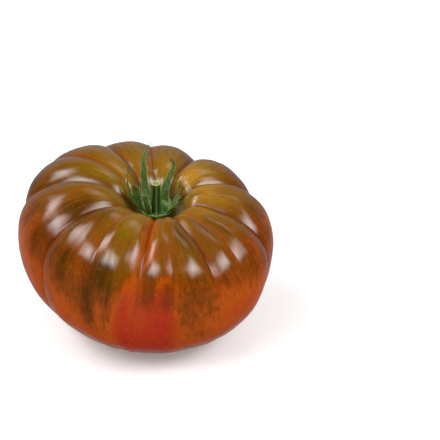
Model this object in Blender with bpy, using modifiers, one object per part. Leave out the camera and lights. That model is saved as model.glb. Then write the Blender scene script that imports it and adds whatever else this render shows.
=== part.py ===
"""A ribbed beefsteak tomato with its stem and the sepals of its calyx, resting on its blossom end.

The origin is where the core's axis meets the surface below. +Z is up, and the front of the fruit faces -Y.
An azimuth is in degrees: 0 is the front, 90 the right (+X), 180 the back and 270 the left.
Lengths are in millimetres here, and become metres when the meshes are made."""

from typing import NamedTuple

import bmesh
import bpy
import numpy as np

MM = 0.001

# Driving dimensions of the fruit.
CROWN_HEIGHT = 68.5  # the top of the lobes
SHOULDER_RADIUS = 53.0  # the widest part, before the plan is made uneven
SHOULDER_DROP = 13.0  # from the crown down to the shoulder
CREST_INSET = 18.0  # from the shoulder in to the top of the lobes
WAIST_HEIGHT = 35.0
BASE_INSET = 6.5
BASE_HEIGHT = 17.5
HEEL_INSET = 26.0
REST_RADIUS = 12.0  # the small flat spot that the fruit rests on
HOLLOW_RADIUS = 14.5  # the lip of the hollow around the stem
HOLLOW_DEPTH = 15.0  # from the crown down to the hollow's floor

# Driving dimensions of the stem and the calyx.
STEM_RADIUS = 2.0
STEM_LENGTH = 12.5  # from the collar's top to the cut
STEM_CUT_RADIUS = 1.75
COLLAR_RADIUS = 5.4  # the stem's flared foot, which the sepals grow from
COLLAR_THICKNESS = 2.2
SEPAL_THICKNESS = 0.8
SEPAL_FOOT_WIDTH = 3.6
SEPAL_TIP_WIDTH = 0.7
TURN_SPAN = (0.1, 0.5)  # the part of its route in which a sepal's width turns to its own direction
SEPAL_FOOT_LEVEL = 0.55  # how far up the collar's thickness a sepal's line starts

# Shares of the sizes above, and the spans in which one shape passes into the next.
WALL_SHARE = 0.15  # how far from the hollow's floor and lip its wall's points stand, in hollow depths
UNEVEN_SPAN = (4.0, 30.0)  # the radii between which the plan and the crown become uneven
RISE_SPAN = (0.25, 0.9)  # the crown heights between which the crown's unevenness grows
FURROW_START = (0.03, 0.25)  # the parts of the way down between which a furrow deepens
FURROW_RUN_OUT = 0.27  # where a furrow starts to run out
DRIFT_SPAN = (0.15, 0.75)  # where a furrow leaves its crown azimuth and reaches its foot azimuth
FURROW_ROUND = 0.8  # degrees over which a furrow's bottom is rounded
FOOT_SPAN = (0.0, 0.35)  # the part of its route in which a sepal takes its own width
TAPER_POWER = 1.5  # how late a sepal tapers
ROUTE_STEP = 0.01  # the step, in parts of a route, over which its direction is read

# Clearances.
GAP = 0.3  # between two pieces that touch
FLOOR_MARGIN = 1.6  # from the collar's edge to the foot of the hollow's wall

# Mesh steps.
FRUIT_SEGMENTS = 90
FRUIT_RINGS = 32
STEM_SEGMENTS = 24
SEPAL_STEPS = 12
SEPAL_STRIPS = 2
OUTLINE_SAMPLES = 2000  # points at which the outline's length is measured
DOWN_STEP = 0.01  # the steps over which the skin's slopes are read: in control points, and in degrees
AROUND_STEP = 0.1


class Wave(NamedTuple):
    """One cosine of the fruit's uneven plan or crown."""

    count: int
    share: float
    azimuth: float


class Furrow(NamedTuple):
    """A groove between two lobes, from the hollow down the side."""

    azimuth: float  # at the crown
    foot_azimuth: float  # at the base
    depth: float
    width: float  # degrees in which the groove's depth falls to a third
    end: float  # part of the way down the skin at which it has run out


class Sepal(NamedTuple):
    """A leaf of the calyx. Its route is (hollow radii out, azimuth, hollow depths up from the foot)."""

    name: str
    foot_azimuth: float
    width: float
    across_azimuth: float  # the azimuth that the blade's flat side faces along
    across_tilt: float  # how far its width turns from level, in degrees
    route: tuple


PLAN = (Wave(1, 0.104, 247.0), Wave(2, 0.057, 47.5), Wave(3, 0.01, 75.0))
RISE = (Wave(1, 0.041, 263.0), Wave(2, 0.012, 118.0), Wave(3, 0.009, 0.0))

FURROWS = (
    Furrow(10, 5, 1.3, 6, 0.5),
    Furrow(27, 31, 3.8, 8, 0.55),
    Furrow(45, 44, 1.6, 6, 0.6),
    Furrow(72, 70, 4.3, 9, 0.75),
    Furrow(112, 107, 4.6, 10, 0.9),
    Furrow(154, 153, 5.8, 9.5, 0.9),
    Furrow(183, 178, 3.0, 9, 0.9),
    Furrow(207, 203, 3.2, 8.5, 0.9),
    Furrow(231, 235, 1.8, 8, 0.9),
    Furrow(255, 260, 5.5, 7.5, 0.9),
    Furrow(297, 297, 5.5, 9, 0.75),
    Furrow(327, 325, 1.8, 7, 0.6),
    Furrow(357, 343, 5.4, 7, 0.62),
)

SEPALS = (
    Sepal("sepal_front_right", 36, 2.4, 300, 62, (
        (0.51, 56, 0.24), (0.64, 70, 0.33), (0.77, 80, 0.41), (0.87, 88, 0.49), (0.92, 97, 0.60), (0.86, 105, 0.70))),
    Sepal("sepal_right", 95, 3.0, 100, 30, (
        (0.54, 107, 0.15), (0.66, 113, 0.25), (0.76, 118, 0.35), (0.80, 127, 0.53))),
    Sepal("sepal_back_right", 144, 3.8, 150, 0, (
        (0.56, 153, 0.28), (0.72, 153, 0.48), (0.88, 150, 0.70), (1.02, 149, 0.92), (1.05, 156, 1.07))),
    Sepal("sepal_back_left", 202, 3.4, 200, 0, (
        (0.57, 208, 0.26), (0.74, 206, 0.51), (0.89, 202, 0.80), (1.07, 198, 1.08), (1.32, 188, 1.32))),
    Sepal("sepal_left", 248, 2.2, 245, 0, (
        (0.62, 255, 0.26), (0.78, 254, 0.48), (0.86, 247, 0.78), (0.90, 236, 1.14))),
    Sepal("sepal_front_left", 290, 4.4, 325, 0, (
        (0.49, 288, 0.32), (0.55, 281, 0.54), (0.58, 277, 0.74), (0.63, 276, 0.86))),
    Sepal("sepal_front", 336, 3.4, 330, 0, (
        (0.46, 328, 0.30), (0.48, 322, 0.52), (0.46, 317, 0.64), (0.53, 312, 0.68))),
)

SKIN_COLOUR = (0.50, 0.13, 0.02, 1.0)
STEM_COLOUR = (0.05, 0.12, 0.02, 1.0)
SEPAL_COLOUR = (0.13, 0.26, 0.06, 1.0)


def smoothstep(low, high, x):
    """0 below low, 1 above high, and a smooth S between them."""
    u = np.clip((x - low) / (high - low), 0, 1)
    return u * u * (3 - 2 * u)


def spline(points, t):
    """A uniform cubic B-spline at t, which counts control points. Its ends are mirrored over column 0."""
    points = np.asarray(points, float)
    mirror = np.array([-1.0] + [1.0] * (points.shape[1] - 1))
    padded = np.vstack([points[1] * mirror, points, points[-2] * mirror])
    t = np.clip(t, 0, len(points) - 1 - 1e-9)
    first = np.floor(t).astype(int)
    f = t - first
    weights = ((1 - f) ** 3, 3 * f**3 - 6 * f**2 + 4, -3 * f**3 + 3 * f**2 + 3 * f + 1, f**3)
    return sum(w[..., None] * padded[first + i] for i, w in enumerate(weights)) / 6


def outline():
    """The control points (radius, height) of the fruit's side, from the stem down to the flat spot."""
    floor = CROWN_HEIGHT - HOLLOW_DEPTH
    floor_radius = COLLAR_RADIUS + FLOOR_MARGIN
    return (
        (0.0, floor),
        (floor_radius, floor),
        (0.5 * (floor_radius + HOLLOW_RADIUS), floor + WALL_SHARE * HOLLOW_DEPTH),
        (HOLLOW_RADIUS, CROWN_HEIGHT - WALL_SHARE * HOLLOW_DEPTH),
        (SHOULDER_RADIUS - CREST_INSET, CROWN_HEIGHT),
        (SHOULDER_RADIUS, CROWN_HEIGHT - SHOULDER_DROP),
        (SHOULDER_RADIUS, WAIST_HEIGHT),
        (SHOULDER_RADIUS - BASE_INSET, BASE_HEIGHT),
        (SHOULDER_RADIUS - HEEL_INSET, 0.0),
        (REST_RADIUS, 0.0),
        (0.0, 0.0),
    )


def waves(rows, azimuth):
    """The sum of the cosines in rows at each azimuth."""
    return sum(r.share * np.cos(np.radians(r.count * (azimuth - r.azimuth))) for r in rows)


def skin(azimuth, t):
    """Points of the fruit before it is furrowed: a turned outline, made wider and higher on one side."""
    radius, height = np.moveaxis(spline(outline(), t), -1, 0)
    away = smoothstep(*UNEVEN_SPAN, radius)
    radius = radius * (1 + away * waves(PLAN, azimuth))
    upper = smoothstep(*RISE_SPAN, height / CROWN_HEIGHT)
    height = height * (1 + upper * away * waves(RISE, azimuth))
    turn = np.radians(azimuth)
    return np.stack([radius * np.sin(turn), -radius * np.cos(turn), height], -1)


def furrow_depth(azimuth, way_down):
    """How deep the furrows are pressed in, where way_down runs from 0 at the stem to 1 under the fruit."""
    depth = np.zeros_like(azimuth)
    drift = np.interp(way_down, DRIFT_SPAN, (0, 1))
    for row in FURROWS:
        middle = row.azimuth + (row.foot_azimuth - row.azimuth) * drift
        off = (azimuth - middle + 180) % 360 - 180
        off = np.sqrt(off**2 + FURROW_ROUND**2) - FURROW_ROUND
        fade = smoothstep(*FURROW_START, way_down) * (1 - smoothstep(FURROW_RUN_OUT, row.end, way_down))
        depth += row.depth * fade * np.exp(-off / row.width)
    return depth


def fruit_surface(azimuth, t):
    """Points of the finished fruit: the skin, pressed in along its own normal where a furrow runs."""
    t_fine = np.linspace(0, len(outline()) - 1, OUTLINE_SAMPLES)
    side = spline(outline(), t_fine)
    run = np.concatenate([[0.0], np.cumsum(np.linalg.norm(np.diff(side, axis=0), axis=1))])
    way_down = np.interp(t, t_fine, run / run[-1])
    down = skin(azimuth, t + DOWN_STEP) - skin(azimuth, t - DOWN_STEP)
    around = skin(azimuth + AROUND_STEP, t) - skin(azimuth - AROUND_STEP, t)
    normal = np.cross(down, around)
    normal /= np.maximum(np.linalg.norm(normal, axis=-1, keepdims=True), 1e-9)
    return skin(azimuth, t) - normal * furrow_depth(azimuth, way_down)[..., None]


def new_object(name, mesh, colour, roughness):
    """A smooth-shaded object in the tomato's collection, with its own material."""
    mesh.shade_smooth()
    material = bpy.data.materials.new(name)
    material.use_nodes = True
    shader = material.node_tree.nodes["Principled BSDF"]
    shader.inputs["Base Color"].default_value = colour
    shader.inputs["Roughness"].default_value = roughness
    mesh.materials.append(material)
    obj = bpy.data.objects.new(name, mesh)
    bpy.data.collections["tomato"].objects.link(obj)
    return obj


def make_fruit():
    """The fruit, one grown solid: a sphere whose poles become the hollow's floor and the rest spot."""
    work = bmesh.new()
    bmesh.ops.create_uvsphere(work, u_segments=FRUIT_SEGMENTS, v_segments=FRUIT_RINGS, radius=1)
    ball = np.array([v.co for v in work.verts], float)
    azimuth = np.degrees(np.arctan2(ball[:, 0], -ball[:, 1]))
    t = np.arccos(np.clip(ball[:, 2], -1, 1)) / np.pi * (len(outline()) - 1)
    for vertex, point in zip(work.verts, fruit_surface(azimuth, t) * MM):
        vertex.co = point
    mesh = bpy.data.meshes.new("fruit")
    work.to_mesh(mesh)
    work.free()
    return new_object("fruit", mesh, SKIN_COLOUR, 0.25)


def collar_base():
    """The height of the collar's underside, just clear of the hollow's floor."""
    return CROWN_HEIGHT - HOLLOW_DEPTH + GAP


def make_stem():
    """The stem with its flared foot: a turned profile, from the cut end down its outer side."""
    base = collar_base()
    top = base + COLLAR_THICKNESS
    profile = (
        (0.0, top + STEM_LENGTH),
        (STEM_CUT_RADIUS, top + STEM_LENGTH),
        (STEM_RADIUS, top + 0.9 * STEM_LENGTH),
        (STEM_RADIUS, top + 0.2 * STEM_LENGTH),
        (STEM_RADIUS + 0.25 * (COLLAR_RADIUS - STEM_RADIUS), top + 0.06 * STEM_LENGTH),
        (COLLAR_RADIUS - 0.3 * COLLAR_THICKNESS, top),
        (COLLAR_RADIUS, top - 0.3 * COLLAR_THICKNESS),
        (COLLAR_RADIUS, base + 0.3 * COLLAR_THICKNESS),
        (COLLAR_RADIUS - 0.5 * COLLAR_THICKNESS, base),
        (0.0, base),
    )
    mesh = bpy.data.meshes.new("stem")
    verts = [(radius * MM, 0.0, height * MM) for radius, height in profile]
    mesh.from_pydata(verts, [(i, i + 1) for i in range(len(verts) - 1)], [])
    stem = new_object("stem", mesh, STEM_COLOUR, 0.6)
    screw = stem.modifiers.new("turn", "SCREW")
    screw.axis = "Z"
    screw.steps = STEM_SEGMENTS
    screw.render_steps = STEM_SEGMENTS
    screw.use_merge_vertices = True
    screw.merge_threshold = 0.00001
    return stem


def sepal_line(sepal):
    """The route's points in millimetres, from the foot at the collar's edge to the tip."""
    foot_radius = COLLAR_RADIUS + GAP + 0.5 * SEPAL_THICKNESS
    foot_height = collar_base() + SEPAL_FOOT_LEVEL * COLLAR_THICKNESS
    points = [(foot_radius, sepal.foot_azimuth, foot_height)]
    for reach, azimuth, rise in sepal.route:
        points.append((reach * HOLLOW_RADIUS, azimuth, foot_height + rise * HOLLOW_DEPTH))
    radius, azimuth, height = np.array(points, float).T
    turn = np.radians(azimuth)
    return np.stack([radius * np.sin(turn), -radius * np.cos(turn), height], -1)


def through(points, u):
    """A smooth curve through the points, at each u from 0 to 1 (Catmull-Rom)."""
    padded = np.vstack([2 * points[0] - points[1], points, 2 * points[-1] - points[-2]])
    t = np.clip(u * (len(points) - 1), 0, len(points) - 1 - 1e-9)
    i = np.floor(t).astype(int)
    f = (t - i)[..., None]
    a, b, c, d = (padded[i + k] for k in range(4))
    return 0.5 * (2 * b + (c - a) * f + (2 * a - 5 * b + 4 * c - d) * f**2 + (3 * b - a - 3 * c + d) * f**3)


def direction(azimuth, tilt):
    """The unit vector level with the ground at that azimuth's right-hand side, tilted up."""
    turn = np.radians(azimuth)
    rise = np.radians(tilt)
    return np.array([np.cos(turn) * np.cos(rise), np.sin(turn) * np.cos(rise), np.sin(rise)])


def sepal_surface(sepal, u, side):
    """Points of the blade's middle sheet: u runs from foot to tip, side from -1 to 1 across it."""
    line = sepal_line(sepal)
    middle = through(line, u)
    along = through(line, np.minimum(u + ROUTE_STEP, 1)) - through(line, np.maximum(u - ROUTE_STEP, 0))
    along /= np.linalg.norm(along, axis=-1, keepdims=True)
    settled = smoothstep(*TURN_SPAN, u)[..., None]
    foot_across = direction(sepal.foot_azimuth, 0)
    across = foot_across + (direction(sepal.across_azimuth, sepal.across_tilt) - foot_across) * settled
    across = across - along * np.sum(along * across, axis=-1, keepdims=True)
    across /= np.linalg.norm(across, axis=-1, keepdims=True)
    blade = SEPAL_FOOT_WIDTH + (sepal.width - SEPAL_FOOT_WIDTH) * smoothstep(*FOOT_SPAN, u)
    width = SEPAL_TIP_WIDTH + (blade - SEPAL_TIP_WIDTH) * (1 - u**TAPER_POWER)
    return middle + across * (0.5 * width * side)[..., None]


def make_sepal(sepal):
    """One sepal: a grid bent along its route, given its thickness by Solidify."""
    work = bmesh.new()
    bmesh.ops.create_grid(work, x_segments=SEPAL_STEPS, y_segments=SEPAL_STRIPS, size=1)
    flat = np.array([v.co for v in work.verts], float)
    bent = sepal_surface(sepal, 0.5 * (flat[:, 0] + 1), flat[:, 1])
    for vertex, point in zip(work.verts, bent * MM):
        vertex.co = point
    mesh = bpy.data.meshes.new(sepal.name)
    work.to_mesh(mesh)
    work.free()
    blade = new_object(sepal.name, mesh, SEPAL_COLOUR, 0.55)
    wall = blade.modifiers.new("thickness", "SOLIDIFY")
    wall.thickness = SEPAL_THICKNESS * MM
    wall.offset = 0
    return blade


def main():
    """Clears the scene and makes the tomato."""
    for obj in list(bpy.data.objects):
        bpy.data.objects.remove(obj)
    collection = bpy.data.collections.new("tomato")
    bpy.context.scene.collection.children.link(collection)
    make_fruit()
    make_stem()
    for sepal in SEPALS:
        make_sepal(sepal)


main()
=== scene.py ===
"""The looks of a ribbed beefsteak tomato: its glossy streaked skin, its stem and its curled sepals.

The origin is where the core's axis meets the floor. +Z is up, and the front of the fruit faces -Y.
An azimuth is in degrees: 0 is the front, 90 the right (+X), 180 the back and 270 the left.
Sizes are in millimetres unless a name or a note says otherwise, and become metres when a mesh is made."""

import logging
from dataclasses import dataclass
from enum import Enum

import bpy
import numpy as np
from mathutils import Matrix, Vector


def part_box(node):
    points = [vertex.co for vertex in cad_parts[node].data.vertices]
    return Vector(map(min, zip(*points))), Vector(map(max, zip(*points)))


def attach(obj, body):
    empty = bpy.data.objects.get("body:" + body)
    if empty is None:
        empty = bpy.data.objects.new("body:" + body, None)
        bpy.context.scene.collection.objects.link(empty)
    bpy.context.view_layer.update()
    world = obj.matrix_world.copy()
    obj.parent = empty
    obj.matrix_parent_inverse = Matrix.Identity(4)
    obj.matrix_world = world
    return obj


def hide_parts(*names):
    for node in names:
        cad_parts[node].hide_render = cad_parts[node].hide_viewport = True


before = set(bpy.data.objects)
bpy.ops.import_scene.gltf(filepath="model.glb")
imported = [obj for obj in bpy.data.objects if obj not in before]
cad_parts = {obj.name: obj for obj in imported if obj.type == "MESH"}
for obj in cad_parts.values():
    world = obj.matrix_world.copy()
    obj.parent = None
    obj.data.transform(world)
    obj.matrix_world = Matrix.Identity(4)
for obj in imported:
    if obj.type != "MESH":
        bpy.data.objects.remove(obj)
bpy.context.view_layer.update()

LOG = logging.getLogger("tomato")
MM = 0.001
BODY = "root"
ASKEW = (0.31, 0.22, 0.93)  # a direction that no hair or thread lies along

Colour = tuple[float, float, float]
Route = tuple[tuple[float, float, float], ...]


class Slot(Enum):
    """The record's material slots."""

    SKIN = "skin"
    STEM = "stem_green"
    SEPAL = "sepal_green"


class Tip(Enum):
    """How a sepal ends."""

    PLAIN = "plain"
    FRAYED = "frayed"


# --- Arithmetic that several pieces share ---


def smoothstep(low: float, high: float, x: np.ndarray) -> np.ndarray:
    """A smooth S: 3u^2 - 2u^3, where u is x's way from low to high.

    Args:
        low: where the S leaves 0.
        high: where it reaches 1.
        x: the values.

    Returns:
        The S at each value.
    """
    u = np.clip((x - low) / (high - low), 0, 1)
    return u * u * (3 - 2 * u)


def turned(radius: np.ndarray, azimuth: np.ndarray, height: np.ndarray) -> np.ndarray:
    """Points at a radius, an azimuth and a height: (r sin a, -r cos a, h).

    Args:
        radius: distances from the axis.
        azimuth: azimuths in degrees.
        height: heights.

    Returns:
        The points, with x, y and z along the last axis.
    """
    turn = np.radians(azimuth)
    return np.stack(np.broadcast_arrays(radius * np.sin(turn), -radius * np.cos(turn), height), -1)


def spline(points: np.ndarray, t: np.ndarray) -> np.ndarray:
    """A uniform cubic B-spline, whose ends are mirrored over the axis (column 0).

    Args:
        points: the control points, as rows of (radius, height).
        t: where to read it, counted in control points.

    Returns:
        The curve's points, along the last axis.
    """
    mirror = np.array([-1.0] + [1.0] * (points.shape[1] - 1))
    padded = np.vstack([points[1] * mirror, points, points[-2] * mirror])
    t = np.clip(t, 0, len(points) - 1 - 1e-9)
    first = np.floor(t).astype(int)
    f = t - first
    weights = ((1 - f) ** 3, 3 * f**3 - 6 * f**2 + 4, -3 * f**3 + 3 * f**2 + 3 * f + 1, f**3)
    return sum(w[..., None] * padded[first + i] for i, w in enumerate(weights)) / 6


def through(points: np.ndarray, u: np.ndarray) -> np.ndarray:
    """A smooth curve through the points (Catmull-Rom).

    Args:
        points: the points, as rows.
        u: where to read it, from 0 at the first point to 1 at the last.

    Returns:
        The curve's points, along the last axis.
    """
    padded = np.vstack([2 * points[0] - points[1], points, 2 * points[-1] - points[-2]])
    t = np.clip(u * (len(points) - 1), 0, len(points) - 1 - 1e-9)
    i = np.floor(t).astype(int)
    f = (t - i)[..., None]
    a, b, c, d = (padded[i + k] for k in range(4))
    return 0.5 * (2 * b + (c - a) * f + (2 * a - 5 * b + 4 * c - d) * f**2 + (3 * b - a - 3 * c + d) * f**3)


def bell(off: np.ndarray, width: float) -> np.ndarray:
    """A bell around 0: exp(-(off / width)^2)."""
    return np.exp(-((off / width) ** 2))


def unit(vectors: np.ndarray) -> np.ndarray:
    """The vectors at length 1."""
    return vectors / np.maximum(np.linalg.norm(vectors, axis=-1, keepdims=True), 1e-9)


def off_from(azimuth: np.ndarray, middle: np.ndarray | float) -> np.ndarray:
    """How many degrees an azimuth is past the middle, from -180 to 180."""
    return (azimuth - middle + 180) % 360 - 180


# --- Meshes ---


@dataclass
class Shell:
    """A closed surface: rings of points, with one point closing each end, and named marks on its points."""

    rings: np.ndarray  # (rings, points around, 3), in millimetres
    marks: dict[str, np.ndarray]

    @staticmethod
    def rows(grid: np.ndarray) -> np.ndarray:
        """A grid's entries as rows, then the mean of its first ring and that of its last."""
        deep = grid.reshape(*grid.shape[:2], -1)
        return np.vstack([deep.reshape(-1, deep.shape[-1]), deep[0].mean(axis=0), deep[-1].mean(axis=0)])

    def points(self) -> np.ndarray:
        """The points as rows: the rings in order, then the middles of the first and the last one."""
        return self.rows(self.rings)

    def values(self, name: str) -> np.ndarray:
        """A mark at each point, as rows."""
        return self.rows(self.marks[name])

    def faces(self) -> tuple[np.ndarray, np.ndarray]:
        """The squares between rings and the triangles at the ends, all facing outwards.

        Returns:
            (squares, triangles), as rows of point numbers.
        """
        count, around = self.rings.shape[:2]
        ring, step = np.meshgrid(np.arange(count - 1), np.arange(around), indexing="ij")
        here = (ring * around + step).ravel()
        beside = (ring * around + (step + 1) % around).ravel()
        squares = np.stack([here, here + around, beside + around, beside], -1)
        step = np.arange(around)
        turn = (step + 1) % around
        low, high = count * around, count * around + 1
        last = (count - 1) * around
        opening = np.stack([np.full(around, low), step, turn], -1)
        closing = np.stack([last + turn, last + step, np.full(around, high)], -1)
        triangles = np.vstack([opening, closing])
        corners = self.points()
        halves = np.vstack([squares[:, :3], squares[:, [0, 2, 3]], triangles])
        if np.linalg.det(corners[halves] - corners.mean(axis=0)).sum() < 0:
            squares, triangles = squares[:, ::-1], triangles[:, ::-1]
        return squares, triangles

    def normals(self) -> np.ndarray:
        """The outward direction at each ring point, as the cross of the ways along and around."""
        along = np.gradient(self.rings, axis=0)
        around = np.roll(self.rings, -1, axis=1) - np.roll(self.rings, 1, axis=1)
        normal = unit(np.cross(along, around))
        outward = self.rings - self.rings.mean(axis=1, keepdims=True)
        return normal if (normal * outward).sum() > 0 else -normal


@dataclass
class Tuft:
    """Straight hairs, each a thin pyramid of three sides with its point at the end."""

    roots: np.ndarray  # rows of points, in millimetres
    ways: np.ndarray  # each hair's length and direction
    thickness: float = 0.07
    marks: tuple[str, ...] = ("along",)

    def points(self) -> np.ndarray:
        """The points as rows, four to a hair: its three feet and its tip."""
        across = unit(np.cross(self.ways, ASKEW))
        beside = unit(np.cross(self.ways, across))
        feet = [
            self.roots + 0.5 * self.thickness * (np.cos(turn) * across + np.sin(turn) * beside)
            for turn in (0, 2 * np.pi / 3, 4 * np.pi / 3)
        ]
        return np.stack([*feet, self.roots + self.ways], 1).reshape(-1, 3)

    def values(self, name: str) -> np.ndarray:
        """How far along its hair each point is, which is the only mark."""
        return np.tile((0.0, 0.0, 0.0, 1.0), len(self.roots))[:, None]

    def faces(self) -> tuple[np.ndarray, np.ndarray]:
        """No squares, and four triangles to a hair, all facing outwards."""
        one = np.array([(0, 1, 3), (1, 2, 3), (2, 0, 3), (0, 2, 1)])
        triangles = (np.arange(len(self.roots))[:, None, None] * 4 + one).reshape(-1, 3)
        return np.empty((0, 4), int), triangles


def make_piece(
    name: str, shells: list[Shell] | list[Tuft], material: bpy.types.Material
) -> bpy.types.Object:
    """Puts shells into one smooth mesh, which rides on the body.

    Args:
        name: the piece's name.
        shells: its closed surfaces, which all hold the same marks.
        material: its finish.

    Returns:
        The object, at the origin.
    """
    points, loops, starts, used, corner = [], [], [], 0, 0
    for shell in shells:
        points.append(shell.points())
        for faces in shell.faces():
            loops.append((faces + used).ravel())
            starts.append(corner + np.arange(len(faces)) * faces.shape[1])
            corner += faces.size
        used += len(points[-1])
    mesh = bpy.data.meshes.new(name)
    mesh.vertices.add(used)
    mesh.vertices.foreach_set("co", (np.vstack(points) * MM).astype(np.float32).ravel())
    mesh.loops.add(corner)
    mesh.loops.foreach_set("vertex_index", np.concatenate(loops).astype(np.int32))
    mesh.polygons.add(sum(map(len, starts)))
    mesh.polygons.foreach_set("loop_start", np.concatenate(starts).astype(np.int32))
    mesh.update(calc_edges=True)
    mesh.validate()
    for mark in shells[0].marks:
        values = np.vstack([shell.values(mark) for shell in shells])
        kind, key = ("FLOAT", "value") if values.shape[1] == 1 else ("FLOAT_VECTOR", "vector")
        mesh.attributes.new(mark, kind, "POINT").data.foreach_set(key, values.astype(np.float32).ravel())
    mesh.shade_smooth()
    mesh.materials.append(material)
    piece = bpy.data.objects.new(name, mesh)
    bpy.context.scene.collection.objects.link(piece)
    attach(piece, BODY)
    LOG.info("%s: %d faces", name, len(mesh.polygons))
    return piece


# --- Finishes ---

Socket = bpy.types.NodeSocket


@dataclass(frozen=True)
class Grain:
    """Soft cloudy noise around 0.5."""

    scale: float  # how many clouds there are in one unit
    detail: float = 2.0  # how many finer layers it has
    rough: float = 0.5  # how strong the finer layers are
    stretch: tuple[float, float, float] | None = None  # along the piece's flow, or None to follow its place


class Graph:
    """A node tree, built from its inputs towards its surface."""

    def __init__(self, owner: bpy.types.Material | bpy.types.World) -> None:
        """Empties the node tree of a material or of a world."""
        owner.use_nodes = True
        self.owner = owner
        self.tree = owner.node_tree
        self.tree.nodes.clear()

    @classmethod
    def of_material(cls, name: str) -> "Graph":
        """Starts an empty material of that name."""
        return cls(bpy.data.materials.new(name))

    def node(self, kind: str, **inputs: Socket | float | tuple) -> bpy.types.Node:
        """Adds a node.

        Args:
            kind: the node's type, without its ShaderNode prefix.
            inputs: what each input takes, a socket or a value. An underscore stands for a space.

        Returns:
            The node.
        """
        made = self.tree.nodes.new("ShaderNode" + kind)
        for name, value in inputs.items():
            self.feed(made.inputs[name.replace("_", " ")], value)
        return made

    def feed(self, entry: Socket, value: Socket | float | tuple) -> None:
        """Links a socket to an input, or sets the input's own value."""
        if isinstance(value, bpy.types.NodeSocket):
            self.tree.links.new(value, entry)
        elif isinstance(value, tuple) and len(value) == 3 and entry.type == "RGBA":
            entry.default_value = (*value, 1.0)
        else:
            entry.default_value = value

    def mark(self, name: str) -> Socket:
        """A value that the mesh holds on its points."""
        made = self.node("Attribute")
        made.attribute_name = name
        return made.outputs["Fac"]

    def noise(self, grain: Grain) -> Socket:
        """A grain's value, read in the piece's own metres or in the flow that its points hold."""
        if grain.stretch is None:
            vector = self.node("TexCoord").outputs["Object"]
        else:
            held = self.node("Attribute")
            held.attribute_name = "flow"
            mapped = self.node("Mapping", Vector=held.outputs["Vector"], Scale=grain.stretch)
            vector = mapped.outputs["Vector"]
        made = self.node(
            "TexNoise", Vector=vector, Scale=grain.scale, Detail=grain.detail, Roughness=grain.rough
        )
        return made.outputs["Fac"]

    def math(self, what: str, a: Socket | float, b: Socket | float = 0.0, c: float = 0.0) -> Socket:
        """A sum, product or other function of up to three values."""
        made = self.node("Math")
        made.operation = what
        for entry, value in zip(made.inputs, (a, b, c)):
            self.feed(entry, value)
        return made.outputs[0]

    def centred(self, value: Socket, swing: float) -> Socket:
        """A noise's value moved to lie around 0 and stretched by its swing."""
        return self.math("MULTIPLY_ADD", value, swing, -0.5 * swing)

    def span(self, value: Socket, low: float, high: float, to_low: float = 0, to_high: float = 1) -> Socket:
        """A smooth S of the value, from to_low at low to to_high at high."""
        made = self.node("MapRange", Value=value, From_Min=low, From_Max=high, To_Min=to_low, To_Max=to_high)
        made.interpolation_type = "SMOOTHSTEP"
        return made.outputs["Result"]

    def ramp(self, value: Socket, stops: tuple[tuple[float, Colour], ...]) -> Socket:
        """The colours of the stops, blended by value."""
        made = self.node("ValToRGB", Fac=value)
        bands = made.color_ramp.elements
        while len(bands) < len(stops):
            bands.new(1.0)
        for band, (place, colour) in zip(bands, stops):
            band.position = place
            band.color = (*colour, 1.0)
        return made.outputs["Color"]

    def mix(self, share: Socket | float, a: Socket | Colour, b: Socket | Colour, how: str = "MIX") -> Socket:
        """Two colours mixed.

        Args:
            share: how much of b there is.
            a: the colour beneath.
            b: the colour over it.
            how: the blend's name.

        Returns:
            The mixed colour.
        """
        made = self.node("Mix")
        made.data_type = "RGBA"
        made.blend_type = how
        made.clamp_factor = True
        self.feed(made.inputs[0], share)
        self.feed(made.inputs[6], a)
        self.feed(made.inputs[7], b)
        return made.outputs[2]

    def bump(self, height: Socket, depth: float, under: Socket | None = None) -> Socket:
        """A normal roughened by a height from 0 to 1, where 1 stands depth millimetres proud."""
        made = self.node("Bump", Height=height, Distance=depth * MM, Strength=1.0)
        if under is not None:
            self.feed(made.inputs["Normal"], under)
        return made.outputs["Normal"]

    def surface(self, **inputs: Socket | float | tuple) -> bpy.types.Material:
        """Ends the graph in a Principled surface.

        Args:
            inputs: what each of its inputs takes. An underscore stands for a space.

        Returns:
            The material.
        """
        shader = self.node("BsdfPrincipled", **inputs)
        self.tree.links.new(shader.outputs[0], self.node("OutputMaterial").inputs[0])
        return self.owner


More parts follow.
